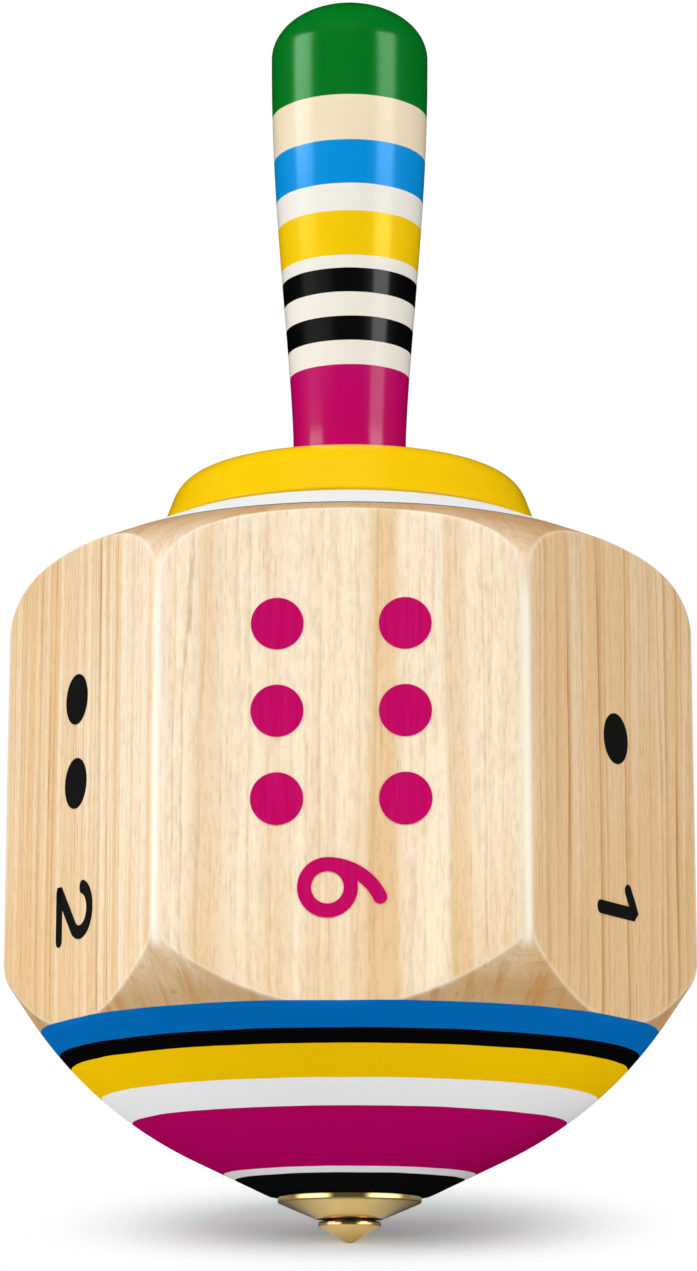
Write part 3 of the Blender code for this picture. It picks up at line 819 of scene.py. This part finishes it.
def ink_finish(name, full, thin):
    """Screen ink: a little thinner along the wood's fibres, with a satin surface."""
    material, place = finish(name, Specular_IOR_Level=0.05)
    fibres = streaks(place, across=4.0, along=0.25, detail=3.0)
    ((fibres - 0.4) * 1.4).blend(full, thin).feeds("Base Color")
    (0.38 + 0.2 * fibres).feeds("Roughness")
    fibres.raises(strength=0.15, distance=0.00003)
    return material


MAGENTA_FULL = (0.50, 0.001, 0.11, 1.0)
MAGENTA_THIN = (0.56, 0.01, 0.145, 1.0)
BLACK_FULL = (0.005, 0.005, 0.005, 1.0)
BLACK_THIN = (0.011, 0.010, 0.009, 1.0)
inks = [
    ink_finish("magenta_ink", MAGENTA_FULL, MAGENTA_THIN),
    ink_finish("black_ink", BLACK_FULL, BLACK_THIN)]
for place_round, number in enumerate(NUMBERS_ROUND):
    print_number(number, place_round * math.tau / FLATS, inks[place_round % 2])

# Floor
# A white board under the tip. It leans towards the camera, which stands a little lower than the tip, so
# that the soft shadow shows round the point as it does on a studio table.

FLOOR_RADIUS = 0.16
FLOOR_LEAN = math.radians(9.5)
FLOOR_SIDES = 96
SHADOW_MIDDLE_MM = (0.0, 12.0, 0.0)
SHADOW_REACH_MM = (22.0, 31.0, 31.0)
SHADOW_CORE_MM = (2.0, 9.0)
SHADOW_TINT_MM = (18.0, 45.0)
DARK_IN_METAL_MM = (3.0, 8.0)
TIP_LIGHT_STARTS_MM = (0.3, 1.6)
TIP_LIGHT_ENDS_MM = (2.0, 5.0)
BOARD_COLOURS = ((0.90, 0.94, 0.94, 1.0), (0.92, 0.955, 0.955, 1.0))
SHADOW_COLOURS = ((0.86, 0.92, 0.95, 1.0), (0.82, 0.945, 0.94, 1.0))
BOARD_IN_METAL = (0.12, 0.12, 0.12, 1.0)
NO_LIGHT = (0.0, 0.0, 0.0, 1.0)
FULL_LIGHT = (1.0, 1.0, 1.0, 1.0)

floor_angles = np.linspace(0.0, math.tau, FLOOR_SIDES, endpoint=False)
floor_points = FLOOR_RADIUS * np.stack([
    np.cos(floor_angles),
    np.sin(floor_angles) * math.cos(FLOOR_LEAN),
    np.sin(floor_angles) * math.sin(FLOOR_LEAN)], axis=1)
floor_mesh = bpy.data.meshes.new("white_board")
floor_mesh.from_pydata(floor_points, [], [list(range(FLOOR_SIDES))])
floor = bpy.data.objects.new("white_board", floor_mesh)
bpy.context.scene.collection.objects.link(floor)

board, place = finish("white_board", Roughness=0.9, Specular_IOR_Level=0.0, Emission_Strength=1.0)
from_camera = place.add("ShaderNodeLightPath", {}, {}, "Is Camera Ray")
in_metal = from_camera.other("Is Glossy Ray")
from_tip = place.vector("LENGTH")
# Round the tip, where its shadow falls, the board is painted cooler, to cancel the pink light that the
# magenta ring throws into the shadow.
clean = place.noise(scale=0.5, detail=3.0).blend(*BOARD_COLOURS)
in_shadow = ease(from_tip, *SHADOW_CORE_MM).blend(*SHADOW_COLOURS)
shown = ease(from_tip, *SHADOW_TINT_MM).blend(in_shadow, clean)
# In reflections the board is painted dark away from the tip, a painted reflection that darkens the brass's
# edges. Close to the tip it glows faintly in reflections only, a painted light on the brass cone.
(in_metal * ease(from_tip, *DARK_IN_METAL_MM, top=0.75)).blend(shown, BOARD_IN_METAL).feeds("Base Color")
lit_tip = in_metal * ease(from_tip, *TIP_LIGHT_STARTS_MM) * (1.0 - ease(from_tip, *TIP_LIGHT_ENDS_MM)) * 0.2
lit_tip.blend(NO_LIGHT, FULL_LIGHT).feeds("Emission Color")
from_shadow = place.vector("SUBTRACT", SHADOW_MIDDLE_MM)
outside = from_shadow.vector("DIVIDE", SHADOW_REACH_MM).vector("LENGTH")
(1.0 - from_camera * (0.15 + ease(outside, 0.25, 1.0, top=0.85))).feeds("Alpha")
floor_mesh.materials.append(board)

# Studio
# A surround that is white for the camera and in reflections shows only low cards, bright at the front
# sides. Soft boxes left and right show as strips in the enamel and the brass. Two fills and a high key light
# from the front don't show in reflections, and light the wood.

AMBIENT = 0.31
SIDE_CARDS = 2.2
LOW_CARDS = 0.1
# Edges of the cards, as parts of a direction: -1 is the front, or straight down, and 1 the back, or up.
CARD_FRONT = (-0.93, -0.75)
CARD_BACK = (-0.3, 0.2)
SIDE_CARD_TOP = (0.06, 0.11)
LOW_CARD_TOP = (0.08, 0.14)

world = bpy.data.worlds.new("studio")
bpy.context.scene.world = world
world.use_nodes = True
background = world.node_tree.nodes["Background"]
surround = Socket(world.node_tree, world.node_tree.nodes.new("ShaderNodeTexCoord").outputs["Generated"])
backwards = surround.add("ShaderNodeSeparateXYZ", {}, {"Vector": surround}, "Y")
upwards = backwards.other("Z")
at_sides = ease(backwards, *CARD_FRONT, top=SIDE_CARDS) * (1.0 - ease(backwards, *CARD_BACK, top=0.92))
side_cards = at_sides * (1.0 - ease(upwards, *SIDE_CARD_TOP))
low_cards = (1.0 - ease(upwards, *LOW_CARD_TOP)) * LOW_CARDS
seen = surround.add("ShaderNodeLightPath", {}, {}, "Is Camera Ray")
glossy = seen.other("Is Glossy Ray")
direct = seen.maths("MAXIMUM", seen, seen.other("Is Transmission Ray"))
level = direct + (1.0 - direct) * (glossy * (side_cards + low_cards) + (1.0 - glossy) * AMBIENT)
world.node_tree.links.new(level.link, background.inputs["Strength"])
background.inputs["Color"].default_value = FULL_LIGHT

LIGHT_DISTANCE = 0.9
LIGHT_AIM = np.array([0.0, 0.0, 0.035])


def soft_box(name, azimuth, elevation, width, height, level, shows=True):
    """Area lamp that faces the object, with its angles in degrees and its size in metres. Azimuth is from
    the front, positive to the right. Level is the brightness that it gives a white surface that faces it."""
    lamp = bpy.data.lights.new(name, "AREA")
    lamp.shape = "RECTANGLE"
    lamp.size = width
    lamp.size_y = height
    lamp.energy = level * math.pi ** 2 * LIGHT_DISTANCE ** 2
    holder = bpy.data.objects.new(name, lamp)
    turn = math.radians(azimuth)
    lift = math.radians(elevation)
    away = np.array([math.sin(turn) * math.cos(lift), -math.cos(turn) * math.cos(lift), math.sin(lift)])
    holder.location = LIGHT_AIM + LIGHT_DISTANCE * away
    holder.rotation_euler = (math.pi / 2.0 - lift, 0.0, turn)
    holder.visible_camera = False
    holder.visible_glossy = shows
    bpy.context.scene.collection.objects.link(holder)


soft_box("left_strip", azimuth=-72.0, elevation=24.2, width=0.45, height=0.25, level=0.255)
soft_box("left_fill", azimuth=-90.0, elevation=21.0, width=0.6, height=0.6, level=0.21, shows=False)
soft_box("right_strip", azimuth=58.0, elevation=24.0, width=0.40, height=0.25, level=0.135)
soft_box("low_right_strip", azimuth=57.0, elevation=18.5, width=0.46, height=0.43, level=0.125)
soft_box("right_fill", azimuth=85.0, elevation=20.0, width=0.6, height=0.6, level=0.11, shows=False)
soft_box("high_key", azimuth=-13.0, elevation=48.0, width=0.8, height=0.8, level=0.69, shows=False)

# Camera
# A long lens, a little to the right of the front flat and lower than the tip, which looks up along the body.
# Its place and pitch are fitted to the photograph.

CAMERA_DISTANCE = 0.2364
CAMERA_DROP = 0.01246
CAMERA_TURN = math.radians(1.5)
CAMERA_AIM = math.radians(0.018)
CAMERA_PITCH = math.radians(12.1)
CAMERA_LENS = 107.6
CAMERA_CLIP_START = 0.01

camera = bpy.data.objects.new("camera", bpy.data.cameras.new("camera"))
camera.data.lens = CAMERA_LENS
camera.data.clip_start = CAMERA_CLIP_START
camera.location = (
    CAMERA_DISTANCE * math.sin(CAMERA_TURN), -CAMERA_DISTANCE * math.cos(CAMERA_TURN), -CAMERA_DROP)
camera.rotation_euler = (math.pi / 2.0 + CAMERA_PITCH, 0.0, CAMERA_TURN + CAMERA_AIM)
bpy.context.scene.collection.objects.link(camera)
bpy.context.scene.camera = camera
bpy.context.scene.view_settings.view_transform = "Standard"
